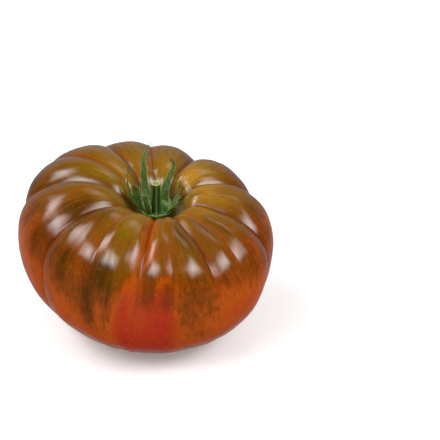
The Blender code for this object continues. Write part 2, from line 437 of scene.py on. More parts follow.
@dataclass(frozen=True)
class SkinFinish:
    """Glossy tomato skin, olive gold at the shoulders and red below, with dark flames and fine streaks."""

    ripening: tuple[tuple[float, Colour], ...] = (
        (0.0, (0.25, 0.145, 0.001)),
        (0.22, (0.205, 0.082, 0.0008)),
        (0.38, (0.21, 0.050, 0.0006)),
        (0.48, (0.31, 0.056, 0.0008)),
        (0.62, (0.46, 0.074, 0.001)),
        (0.78, (0.44, 0.045, 0.002)),
        (1.0, (0.41, 0.023, 0.003)),
    )
    dusk: Colour = (0.092, 0.021, 0.0005)
    flame: Colour = (0.050, 0.026, 0.0005)
    gold: Colour = (0.60, 0.29, 0.03)
    warm: Colour = (0.50, 0.100, 0.004)
    crease: Colour = (0.12, 0.010, 0.001)
    # the furrow bottoms: dark red pigment with painted shade
    scar: Colour = (0.28, 0.17, 0.08)
    fleck: Colour = (0.50, 0.24, 0.03)
    dusk_share: float = 0.75  # how much of a colour shows at its strongest
    flame_share: float = 0.72
    fleck_share: float = 0.25
    crease_share: float = 0.85
    grain: Grain = Grain(34.0, 4.0, 0.62, (1, 1, 0.16))
    long: Grain = Grain(30.0, 3.0, 0.62, (1, 1, 0.065))
    fine: Grain = Grain(110.0, 2.0, 0.6, (1, 1, 0.10))
    cloud: Grain = Grain(55.0, 3.0, 0.55)
    speck: Grain = Grain(900.0, 2.0, 0.6)
    cloud_swing: float = 0.44  # how unevenly it ripens
    grain_swing: float = 0.36
    long_swing: float = 1.6  # how torn the flames are
    fine_swing: float = 0.7
    gloss: tuple[float, float] = (0.15, 0.21)
    fine_depth: float = 0.014
    speck_depth: float = 0.003

    def colour(self, g: Graph, grains: list[Socket]) -> Socket:
        """The skin's colour: how ripe it is, then gold, warm edges, flames, veins, flecks and creases, which
        are dark red pigment with painted shade.

        Args:
            g: the skin's graph.
            grains: the values of grain, long, fine, cloud and speck.

        Returns:
            The colour, darkened by the tone mark's painted shade and by fine light and dark grain.
        """
        grain, long, fine, cloud, speck = grains
        ripe = g.math("ADD", g.mark("ripe"), g.centred(cloud, self.cloud_swing))
        ripe = g.math("ADD", ripe, g.centred(grain, self.grain_swing))
        colour = g.ramp(ripe, self.ripening)
        gold = g.math("MULTIPLY", g.mark("gold"), g.span(cloud, 0.30, 0.62, 0.35, 1.0))
        colour = g.mix(gold, colour, self.gold)
        colour = g.mix(g.mark("warm"), colour, self.warm)
        streak = g.mark("streak")
        colour = g.mix(g.math("MULTIPLY", streak, self.dusk_share), colour, self.dusk)
        torn = g.math("ADD", g.centred(long, self.long_swing), g.centred(fine, self.fine_swing))
        flame = g.span(g.math("ADD", streak, torn), 0.15, 1.20)
        colour = g.mix(g.math("MULTIPLY", flame, self.flame_share), colour, self.flame)
        green = g.span(ripe, 0.25, 0.60, 0.38, 0.0)
        veins = g.math("MULTIPLY", green, g.span(g.math("ADD", long, fine), 0.92, 1.25))
        colour = g.mix(veins, colour, self.flame)
        flecks = g.math("MULTIPLY", g.span(speck, 0.60, 0.74), self.fleck_share)
        colour = g.mix(flecks, colour, self.fleck)
        # the creases: partly dark red pigment, partly painted shade in the furrow bottoms
        colour = g.mix(g.math("MULTIPLY", g.mark("crease"), self.crease_share), colour, self.crease)
        shade = g.math("MULTIPLY", g.span(fine, 0.25, 0.75, 0.88, 1.0), g.span(grain, 0.32, 0.62, 0.80, 1.0))
        # painted shade: the tone mark darkens the stem hollow, the skin beside deep furrows and the base
        shade = g.math("MULTIPLY", shade, g.mark("tone"))
        grey = g.ramp(shade, ((0.0, (0, 0, 0)), (1.0, (1, 1, 1))))
        return g.mix(g.mark("scar"), g.mix(1.0, colour, grey, "MULTIPLY"), self.scar)

    def material(self) -> bpy.types.Material:
        """Builds the skin's material."""
        g = Graph.of_material("tomato_skin")
        grains = [g.noise(each) for each in (self.grain, self.long, self.fine, self.cloud, self.speck)]
        grain, _, fine, _, speck = grains
        return g.surface(
            Base_Color=self.colour(g, grains), Roughness=g.span(grain, 0.3, 0.7, *self.gloss),
            Normal=g.bump(speck, self.speck_depth, g.bump(fine, self.fine_depth)),
            Subsurface_Weight=0.08, Subsurface_Scale=0.003, Subsurface_Radius=(1.0, 0.25, 0.08),
        )


@dataclass(frozen=True)
class StemFinish:
    """A dark green ribbed stalk, whose cut end is pale, with a painted highlight along the top of the
    collar's rim.
    """

    stalk: Colour = (0.012, 0.036, 0.004)
    ridge_and_rim_highlight: Colour = (0.105, 0.20, 0.035)
    cut: Colour = (0.44, 0.46, 0.16)
    pith: Colour = (0.13, 0.17, 0.035)
    strand: Grain = Grain(9.0, 3.0, 0.6, (1, 1, 0.15))
    mottle: Grain = Grain(700.0)
    strand_depth: float = 0.12
    mottle_depth: float = 0.04

    def material(self) -> bpy.types.Material:
        """Builds the stem's material."""
        g = Graph.of_material("stem_green")
        strand, mottle = g.noise(self.strand), g.noise(self.mottle)
        # lighter on the rib crests, and a painted highlight along the top of the collar's rim
        colour = g.mix(g.span(g.math("ADD", strand, g.mark("ridge_and_rim_highlight")), 0.45, 1.0), self.stalk, self.ridge_and_rim_highlight)
        colour = g.mix(g.span(mottle, 0.45, 0.8, 0.0, 0.35), colour, self.ridge_and_rim_highlight)
        face = g.mix(g.mark("pith"), self.cut, self.pith)
        return g.surface(
            Base_Color=g.mix(g.mark("cut"), colour, face), Roughness=g.span(strand, 0.3, 0.7, 0.42, 0.62),
            Normal=g.bump(strand, self.strand_depth, g.bump(mottle, self.mottle_depth)),
            Subsurface_Weight=0.08, Subsurface_Scale=0.002,
        )


@dataclass(frozen=True)
class LeafFinish:
    """A thin green sepal with a pale edge, faint veins and a drying tip."""

    inside: Colour = (0.068, 0.125, 0.010)
    outside: Colour = (0.060, 0.120, 0.008)
    deep: Colour = (0.016, 0.040, 0.004)
    rim: Colour = (0.34, 0.42, 0.17)
    dry: Colour = (0.11, 0.13, 0.025)
    vein: Grain = Grain(1.6, 3.0, 0.6, (1, 0.10, 1))
    mottle: Grain = Grain(520.0, 3.0, 0.6)
    rim_swing: float = 0.4  # how unevenly wide the pale edge is
    vein_depth: float = 0.10
    mottle_depth: float = 0.05

    def material(self) -> bpy.types.Material:
        """Builds the sepals' material."""
        g = Graph.of_material("sepal_green")
        vein, mottle = g.noise(self.vein), g.noise(self.mottle)
        colour = g.mix(g.mark("upper"), self.outside, self.inside)
        colour = g.mix(g.span(vein, 0.42, 0.72, 0.0, 0.55), colour, self.rim, "SOFT_LIGHT")
        colour = g.mix(g.span(mottle, 0.38, 0.66, 0.0, 0.65), colour, self.deep)
        colour = g.mix(g.span(vein, 0.30, 0.50, 0.45, 0.0), colour, self.deep)
        colour = g.mix(g.span(g.mark("along"), 0.60, 1.0, 0.0, 0.8), colour, self.dry)
        rim = g.math("ADD", g.mark("edge"), g.centred(mottle, self.rim_swing))
        return g.surface(
            Base_Color=g.mix(g.span(rim, 0.78, 1.0, 0.0, 0.75), colour, self.rim),
            Roughness=g.span(mottle, 0.3, 0.7, 0.45, 0.65),
            Normal=g.bump(vein, self.vein_depth, g.bump(mottle, self.mottle_depth)),
            Subsurface_Weight=0.10, Subsurface_Scale=0.001, Specular_IOR_Level=0.3,
        )


@dataclass(frozen=True)
class HairFinish:
    """The pale down on the sepals."""

    root: Colour = (0.20, 0.30, 0.08)
    end: Colour = (0.55, 0.60, 0.34)

    def material(self) -> bpy.types.Material:
        """Builds the down's material."""
        g = Graph.of_material("calyx_down")
        return g.surface(Base_Color=g.mix(g.mark("along"), self.root, self.end), Roughness=0.5)


@dataclass(frozen=True)
class FloorFinish:
    """A plain pale studio sweep."""

    paper: Colour = (0.93, 0.93, 0.93)
    shade: Colour = (0.90, 0.90, 0.90)
    tone: Grain = Grain(40.0)
    glow: float = 0.26  # of the paper, which is lit from below

    def material(self) -> bpy.types.Material:
        """Builds the floor's material."""
        g = Graph.of_material("pale_floor")
        colour = g.mix(g.span(g.noise(self.tone), 0.3, 0.7, 0.0, 0.02), self.paper, self.shade)
        return g.surface(
            Base_Color=colour, Roughness=0.75, Emission_Color=self.paper, Emission_Strength=self.glow
        )


# --- The fruit ---


@dataclass(frozen=True)
class Wave:
    """One cosine of the fruit's uneven plan or crown."""

    count: int
    share: float
    azimuth: float


@dataclass(frozen=True)
class Furrow:
    """A groove between two lobes, from the hollow down the side."""

    azimuth: float  # at the crown
    foot_azimuth: float  # at the base
    depth: float
    width: float  # degrees in which the groove's depth falls to a third
    end: float  # part of the way down the skin at which it has run out
    warm: float = 0.25  # how much riper the skin beside it is


@dataclass(frozen=True)
class Lobe:
    """How one lobe ripens, read at its middle and blended to its neighbours."""

    azimuth: float
    turning: float  # part of the way down at which the olive ends
    red: float  # part of the way down at which it is ripe
    ripest: float  # how far it ripens, 1 being crimson
    gold: float  # how golden its crown is


@dataclass(frozen=True)
class Flame:
    """A dark streak of the unripe skin that runs down a lobe."""

    azimuth: float
    top: float  # parts of the way down
    bottom: float
    half_width: float  # degrees
    strength: float


@dataclass
class Fruit:
    """The fruit, one grown solid: a turned outline made uneven, with furrows pressed in."""

    crown_height: float = 68.5
    shoulder_radius: float = 53.0
    shoulder_drop: float = 13.0
    crest_inset: float = 18.0
    waist_height: float = 35.0
    base_inset: float = 6.5
    base_height: float = 17.5
    heel_inset: float = 26.0
    rest_radius: float = 12.0
    hollow_radius: float = 14.5
    hollow_depth: float = 15.0
    floor_radius: float = 7.0
    columns: int = 440
    rows: int = 218
    crease_round: float = 0.35  # degrees over which a furrow's bottom is rounded
    rib_height: float = 0.045
    lump_height: float = 0.12
    scar_height: float = 1.1  # how far the blossom end is drawn in
    scar_radius: float = 2.6
    olive: float = 0.30  # how ripe the skin is where it starts to turn
    crease_width: float = 1.1  # degrees, as are the next two
    warm_width: float = 5.0
    shade_width: float = 8.0  # of the painted shade on the skin beside a deep furrow
    plan: tuple[Wave, ...] = (Wave(1, 0.104, 247.0), Wave(2, 0.057, 47.5), Wave(3, 0.01, 75.0))
    rise: tuple[Wave, ...] = (Wave(1, 0.041, 263.0), Wave(2, 0.012, 118.0), Wave(3, 0.009, 0.0))
    furrows: tuple[Furrow, ...] = (
        Furrow(10, 5, 1.3, 6, 0.5),
        Furrow(27, 31, 3.8, 8, 0.55),
        Furrow(45, 44, 1.6, 6, 0.6),
        Furrow(72, 70, 4.3, 9, 0.75),
        Furrow(112, 107, 4.6, 10, 0.9),
        Furrow(154, 153, 5.8, 9.5, 0.9),
        Furrow(183, 178, 3.0, 9, 0.9),
        Furrow(207, 203, 3.2, 8.5, 0.9),
        Furrow(231, 235, 1.8, 8, 0.9),
        Furrow(255, 260, 5.5, 7.5, 0.9),
        Furrow(297, 297, 5.5, 9, 0.75),
        Furrow(327, 325, 1.8, 7, 0.6),
        Furrow(357, 343, 5.4, 7, 0.62, 1.0),
    )
    lobes: tuple[Lobe, ...] = (
        Lobe(8, 0.38, 0.47, 0.98, 0.1),
        Lobe(13, 0.37, 0.62, 0.62, 0.1),
        Lobe(24, 0.37, 0.64, 0.62, 0.1),
        Lobe(30, 0.34, 0.56, 0.66, 0.2),
        Lobe(58, 0.32, 0.54, 0.66, 0.3),
        Lobe(92, 0.32, 0.54, 0.66, 0.7),
        Lobe(133, 0.38, 0.60, 0.75, 0.6),
        Lobe(168, 0.40, 0.62, 0.80, 0.3),
        Lobe(195, 0.42, 0.66, 0.75, 0.2),
        Lobe(219, 0.40, 0.62, 0.70, 0.2),
        Lobe(243, 0.38, 0.60, 0.72, 0.1),
        Lobe(276, 0.30, 0.56, 0.72, 0.1),
        Lobe(292, 0.31, 0.56, 0.72, 0.1),
        Lobe(302, 0.33, 0.58, 0.62, 0.1),
        Lobe(320, 0.35, 0.60, 0.62, 0.1),
        Lobe(341, 0.42, 0.62, 0.64, 0.1),
        Lobe(350, 0.38, 0.47, 0.98, 0.1),
    )
    flames: tuple[Flame, ...] = (
        Flame(334, 0.36, 0.44, 9, 0.95),
        Flame(328, 0.41, 0.57, 5, 0.80),
        Flame(340, 0.38, 0.52, 3, 0.60),
        Flame(312, 0.37, 0.46, 5, 0.70),
        Flame(303, 0.38, 0.44, 4, 0.45),
        Flame(290, 0.34, 0.45, 6, 0.65),
        Flame(276, 0.33, 0.42, 4, 0.45),
        Flame(290, 0.20, 0.29, 7, 0.65),
        Flame(304, 0.18, 0.29, 9, 0.60),
        Flame(316, 0.20, 0.27, 7, 0.50),
        Flame(262, 0.14, 0.26, 8, 0.40),
        Flame(90, 0.12, 0.24, 6, 0.35),
        Flame(352, 0.19, 0.23, 3, 0.30),
        Flame(38, 0.18, 0.27, 5, 0.50),
        Flame(50, 0.20, 0.29, 5, 0.45),
        Flame(1, 0.36, 0.47, 3, 0.75),
        Flame(8, 0.40, 0.48, 3, 0.60),
        Flame(17, 0.40, 0.57, 6, 0.42),
        Flame(19, 0.19, 0.28, 7, 0.45),
        Flame(34, 0.36, 0.44, 5, 0.40),
        Flame(52, 0.36, 0.46, 5, 0.45),
        Flame(68, 0.38, 0.48, 5, 0.35),
        Flame(84, 0.30, 0.42, 5, 0.40),
        Flame(104, 0.36, 0.50, 5, 0.50),
        Flame(126, 0.34, 0.48, 8, 0.60),
        Flame(141, 0.38, 0.56, 5, 0.55),
        Flame(164, 0.36, 0.52, 7, 0.60),
        Flame(176, 0.34, 0.45, 4, 0.50),
        Flame(192, 0.38, 0.58, 8, 0.60),
        Flame(214, 0.36, 0.50, 7, 0.65),
        Flame(226, 0.34, 0.44, 4, 0.40),
        Flame(246, 0.36, 0.52, 7, 0.60),
    )
    finish: SkinFinish = SkinFinish()

    def outline(self) -> np.ndarray:
        """The control points (radius, height) of the side, from the stem down to the flat spot."""
        floor = self.crown_height - self.hollow_depth
        return np.array((
            (0.0, floor),
            (self.floor_radius, floor),
            (0.5 * (self.floor_radius + self.hollow_radius), floor + 0.15 * self.hollow_depth),
            (self.hollow_radius, self.crown_height - 0.15 * self.hollow_depth),
            (self.shoulder_radius - self.crest_inset, self.crown_height),
            (self.shoulder_radius, self.crown_height - self.shoulder_drop),
            (self.shoulder_radius, self.waist_height),
            (self.shoulder_radius - self.base_inset, self.base_height),
            (self.shoulder_radius - self.heel_inset, 0.0),
            (self.rest_radius, 0.0),
            (0.0, 0.0),
        ))

    def steps_down(self, way_down: np.ndarray) -> np.ndarray:
        """The outline's t at each part of the way down, by the length run so far."""
        t_fine = np.linspace(0, len(self.outline()) - 1, 2000)
        side = spline(self.outline(), t_fine)
        run = np.concatenate([[0.0], np.cumsum(np.linalg.norm(np.diff(side, axis=0), axis=1))])
        return np.interp(way_down, run / run[-1], t_fine)

    def meridians(self) -> np.ndarray:
        """The azimuths of the columns at the crown, which crowd together in the furrows.

        The columns are spread evenly over the running sum of 1 + 2.4 times a bell 1.7 wide at each furrow.
        """
        fine = np.linspace(0, 360, 14401)
        crowd = sum(2.4 * bell(off_from(fine, f.azimuth), 1.7) for f in self.furrows)
        total = np.concatenate([[0.0], np.cumsum(0.5 * (2 + crowd[1:] + crowd[:-1]))])
        return np.interp(np.arange(self.columns) / self.columns, total / total[-1], fine)

    def follow(self, meridian: np.ndarray, way_down: np.ndarray) -> np.ndarray:
        """The azimuth of a meridian at each part of the way down: it drifts as the furrows beside it do."""
        at = [f.azimuth for f in self.furrows]
        shift = [f.foot_azimuth - f.azimuth for f in self.furrows]
        return meridian + np.interp(meridian, at, shift, period=360) * self.drift(way_down)

    @staticmethod
    def drift(way_down: np.ndarray) -> np.ndarray:
        """How far a furrow has moved over to its foot azimuth."""
        return np.clip((way_down - 0.15) / 0.6, 0, 1)

    @staticmethod
    def waves(rows: tuple[Wave, ...], azimuth: np.ndarray) -> np.ndarray:
        """The sum of the cosines at each azimuth."""
        return sum(r.share * np.cos(np.radians(r.count * (azimuth - r.azimuth))) for r in rows)

    def skin(self, azimuth: np.ndarray, t: np.ndarray) -> np.ndarray:
        """The fruit before it is furrowed: the outline turned about the axis, uneven by its waves."""
        radius, height = np.moveaxis(spline(self.outline(), t), -1, 0)
        away = smoothstep(4, 30, radius)
        radius = radius * (1 + away * self.waves(self.plan, azimuth))
        upper = smoothstep(0.25 * self.crown_height, 0.9 * self.crown_height, height)
        height = height * (1 + upper * away * self.waves(self.rise, azimuth))
        return turned(radius, azimuth, height)

    def furrow_depth(self, azimuth: np.ndarray, way_down: np.ndarray) -> np.ndarray:
        """How deep the furrows are pressed in: depth * exp(-off / width), fading in and out down the skin."""
        depth = np.zeros_like(azimuth)
        for f in self.furrows:
            off = off_from(azimuth, f.azimuth + (f.foot_azimuth - f.azimuth) * self.drift(way_down))
            off = np.sqrt(off**2 + self.crease_round**2) - self.crease_round
            fade = smoothstep(0.03, 0.25, way_down) * (1 - smoothstep(0.27, f.end, way_down))
            depth += f.depth * fade * np.exp(-off / f.width)
        return depth

    def ribs(self, meridian: np.ndarray, way_down: np.ndarray) -> np.ndarray:
        """Fine ribs that run out of the hollow and over the crown, as a few cosines around the fruit.

        The rib height swells from way down 0.04 to 0.16 and is gone by 0.75.
        """
        chance = np.random.default_rng(11)
        turn = np.radians(meridian)
        rib = np.zeros_like(meridian)
        for count in (17, 23, 31, 41, 53, 67):
            rib = rib + np.cos(count * turn + chance.uniform(0, 2 * np.pi)) / np.sqrt(6)
        swell = smoothstep(0.04, 0.16, way_down) * (1 - smoothstep(0.30, 0.75, way_down))
        return self.rib_height * rib * swell

    def lumps(self, meridian: np.ndarray, way_down: np.ndarray) -> np.ndarray:
        """Broad shallow lumps: a few products of a cosine around and a cosine down."""
        chance = np.random.default_rng(5)
        turn = np.radians(meridian)
        lump = np.zeros_like(meridian)
        for around, down in ((5, 2), (9, 3), (13, 5), (19, 8)):
            phases = chance.uniform(0, 2 * np.pi, 2)
            lump = lump + np.cos(around * turn + phases[0]) * np.cos(np.pi * down * way_down + phases[1])
        swell = smoothstep(0.12, 0.3, way_down) * (1 - smoothstep(0.75, 0.92, way_down))
        return self.lump_height * lump * swell

    def surface(self, meridian: np.ndarray, way_down: np.ndarray) -> np.ndarray:
        """The finished skin: pressed in along its own normal by the furrows, out by the ribs and lumps."""
        t = self.steps_down(way_down)
        azimuth = self.follow(meridian, way_down)
        down = self.skin(azimuth, t + 0.01) - self.skin(azimuth, t - 0.01)
        around = self.skin(azimuth + 0.1, t) - self.skin(azimuth - 0.1, t)
        normal = unit(np.cross(down, around))
        proud = self.ribs(meridian, way_down) + self.lumps(meridian, way_down)
        proud = proud - self.furrow_depth(azimuth, way_down)
        points = self.skin(azimuth, t) + normal * proud[..., None]
        radius = np.hypot(points[..., 0], points[..., 1])
        dimple = self.scar_height * bell(radius, self.scar_radius)
        points[..., 2] += np.where(way_down > 0.9, dimple, 0.0)
        return points

    def seated(self, points: np.ndarray) -> np.ndarray:
        """The points stretched by under a percent, so that they fill the frame's fruit exactly."""
        low, high = (np.array(corner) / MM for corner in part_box("fruit"))
        least, most = points.reshape(-1, 3).min(axis=0), points.reshape(-1, 3).max(axis=0)
        return low + (points - least) * (high - low) / (most - least)

    def marks(self, meridian: np.ndarray, way_down: np.ndarray) -> dict[str, np.ndarray]:
        """The values that the finish reads.

        Args:
            meridian: each point's azimuth at the crown.
            way_down: how far down the skin it is.

        Returns:
            ripe, gold, streak, crease, warm, tone and scar from 0 to 1, and flow, which is even around and
            down the fruit. The tone is painted shade, and the crease is dark red pigment with painted shade.
        """
        at = [lobe.azimuth for lobe in self.lobes]
        turning, red, ripest, gold = (
            np.interp(meridian, at, [getattr(lobe, name) for lobe in self.lobes], period=360)
            for name in ("turning", "red", "ripest", "gold")
        )
        ripe = self.olive * smoothstep(0.0, 1.0, way_down / turning)
        ripe = ripe + (ripest - self.olive) * np.clip((way_down - turning) / (red - turning), 0, 1) ** 0.8
        gold = gold * smoothstep(0.06, 0.12, way_down) * (1 - smoothstep(0.16, 0.34, way_down))
        flame = np.zeros_like(meridian)
        for f in self.flames:
            across = bell(off_from(meridian, f.azimuth), f.half_width)
            soft = 0.25 * (f.bottom - f.top)
            run = smoothstep(f.top - soft, f.top + soft, way_down)
            run = run * (1 - smoothstep(f.bottom - soft, f.bottom + 2 * soft, way_down))
            flame = np.maximum(flame, f.strength * across * run)
        crease, warm, crowd = (np.zeros_like(meridian) for _ in range(3))
        for f in self.furrows:
            fade = smoothstep(0.02, 0.12, way_down) * (1 - smoothstep(0.25, f.end, way_down))
            off = np.abs(off_from(meridian, f.azimuth))
            # the crease mark is partly dark red pigment, partly painted shade in the furrow bottom
            crease = np.maximum(crease, min(1.0, f.depth / 4.0) * fade * np.exp(-off / self.crease_width))
            warm = np.maximum(warm, f.warm * fade * bell(off, self.warm_width))
            # painted shade beside each deep furrow, which the tone carries
            depth = min(1.0, f.depth / 5.0) * (1 - f.warm)
            crowd = np.maximum(crowd, depth * fade * bell(off, self.shade_width))
        scar = smoothstep(0.975, 0.99, way_down)
        turn = np.radians(meridian)
        flow = np.stack([np.cos(turn), np.sin(turn), 6.0 * way_down], -1)
        # the tone is painted shade: darker in the stem hollow, beside deep furrows and towards the base
        tone = (0.35 + 0.65 * smoothstep(0.03, 0.13, way_down)) * (1 - 0.4 * crowd)
        tone = tone * (1 - 0.24 * smoothstep(0.54, 0.80, way_down))
        return {
            "ripe": ripe, "gold": gold, "streak": flame, "crease": crease, "warm": warm, "tone": tone,
            "scar": scar, "flow": flow,
        }

    def build(self) -> bpy.types.Object:
        """Makes the fruit and dresses it."""
        down = (np.arange(self.rows) + 0.6) / (self.rows + 0.2)
        way_down, meridian = np.meshgrid(down, self.meridians(), indexing="ij")
        points = self.seated(self.surface(meridian, way_down))
        shell = Shell(points, self.marks(meridian, way_down))
        piece = make_piece("fruit_skin", [shell], self.finish.material())
        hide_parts("fruit")
        return piece


# --- The stem and the calyx ---


@dataclass
class Stem:
    """The stem with its flared foot, a turned profile with ribs, cut off level at the top."""

    base: float  # the height of its underside
    top: float  # the height of its cut
    shaft_radius: float = 2.0
    cut_radius: float = 1.8
    collar_radius: float = 5.4
    collar_thickness: float = 2.2
    pith_depth: float = 0.35
    around: int = 64
    finish: StemFinish = StemFinish()

    @classmethod
    def from_frame(cls) -> "Stem":
        """The stem where the frame has it."""
        low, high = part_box("stem")
        return cls(base=low.z / MM, top=high.z / MM)

    def profile(self) -> np.ndarray:
        """Rows of (radius, height, ribbing, cut, pith), from under the foot up to the middle of the cut."""
        base, top = self.base, self.top
        collar = base + self.collar_thickness
        shaft = top - collar
        foot, thick, bar = self.collar_radius, self.collar_thickness, self.shaft_radius
        return np.array((
            (0.5 * foot, base, 0, 0, 0),
            (foot - 0.5 * thick, base, 0, 0, 0),
            (foot - 0.1 * thick, base + 0.25 * thick, 0.3, 0, 0),
            (foot + 0.5, base + 0.7 * thick, 0.3, 0, 0),
            (foot + 0.9, collar + 0.4, 0.3, 0, 0),
            (foot + 0.6, collar + 0.8, 0.4, 0, 0),
            (foot - 0.1, collar + 0.4, 0.5, 0, 0),
            (bar + 2.0, collar - 0.5, 0.7, 0, 0),
            (bar + 1.0, collar - 0.35, 0.9, 0, 0),
            (bar + 0.55, collar + 0.10 * shaft, 1, 0, 0),
            (bar + 0.2, collar + 0.28 * shaft, 1, 0, 0),
            (bar, collar + 0.55 * shaft, 1, 0, 0),
            (bar - 0.10, collar + 0.85 * shaft, 1, 0, 0),
            (self.cut_radius, top - 0.35, 0.8, 0.2, 0),
            (self.cut_radius, top - 0.08, 0.5, 1, 0),
            (self.cut_radius - 0.15, top, 0.3, 1, 0),
            (self.cut_radius - 0.55, top - 0.05, 0, 1, 0),
            (self.cut_radius - 0.75, top - self.pith_depth, 0, 1, 1),
            (0.45, top - self.pith_depth, 0, 1, 0.9),
            (0.25, top - 0.5 * self.pith_depth, 0, 1, 0.1),
        ))

    def build(self) -> bpy.types.Object:
        """Makes the stem: the profile turned, its radius times 1 + ribs, which are cosines of 6 and 13."""
        along = through(self.profile(), np.linspace(0, 1, 110))
        azimuth = np.arange(self.around) * 360.0 / self.around
        radius, height, ribbing, cut, pith = (along[:, k, None] for k in range(5))
        rib = 0.09 * np.cos(np.radians(6 * azimuth + 40)) + 0.05 * np.cos(np.radians(13 * azimuth + 10))
        rings = turned(radius * (1 + ribbing * rib), azimuth + 0.8 * (height - self.base), height)
        ones = np.ones((1, self.around))
        turn = np.radians(azimuth)
        flow = np.stack(np.broadcast_arrays(np.cos(turn), np.sin(turn), 0.2 * height), -1)
        # painted highlight: a lighter ring along the top of the collar's rim
        rim = bell(height - self.base - self.collar_thickness - 0.6, 0.7) * (radius > 4.5)
        marks = {
            "flow": flow, "ridge_and_rim_highlight": 4.5 * rib * ribbing + 1.1 * rim, "cut": np.clip(cut, 0, 1) * ones,
            "pith": np.clip(pith, 0, 1) * ones,
        }
        shell = Shell(rings, marks)
        piece = make_piece("stem_stalk", [shell], self.finish.material())
        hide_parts("stem")
        return piece


@dataclass(frozen=True)
class Wisp:
    """A thin dried thread: its points and its width at the root."""

    route: Route
    width: float = 0.5


@dataclass(frozen=True)
class SepalPlan:
    """One sepal. Its route is (radius, azimuth, height over the foot of the calyx), from the collar out."""

    node: str
    foot_azimuth: float
    width: float
    across_azimuth: float  # the azimuth that the blade's flat side faces along
    across_tilt: float  # how far its width turns from level, in degrees
    route: Route
    bend: float  # the angle that half the blade turns through across its width, in radians
    ruffle: float  # how far the edges wave
    tip: Tip = Tip.PLAIN
    tip_width: float = 0.4
    taper: float = 2.2  # how late the blade tapers
    narrowed: float = 0.45  # the part of its route at which the foot has narrowed to the blade
    foot_width: float = 5.6
    wisps: tuple[Wisp, ...] = ()


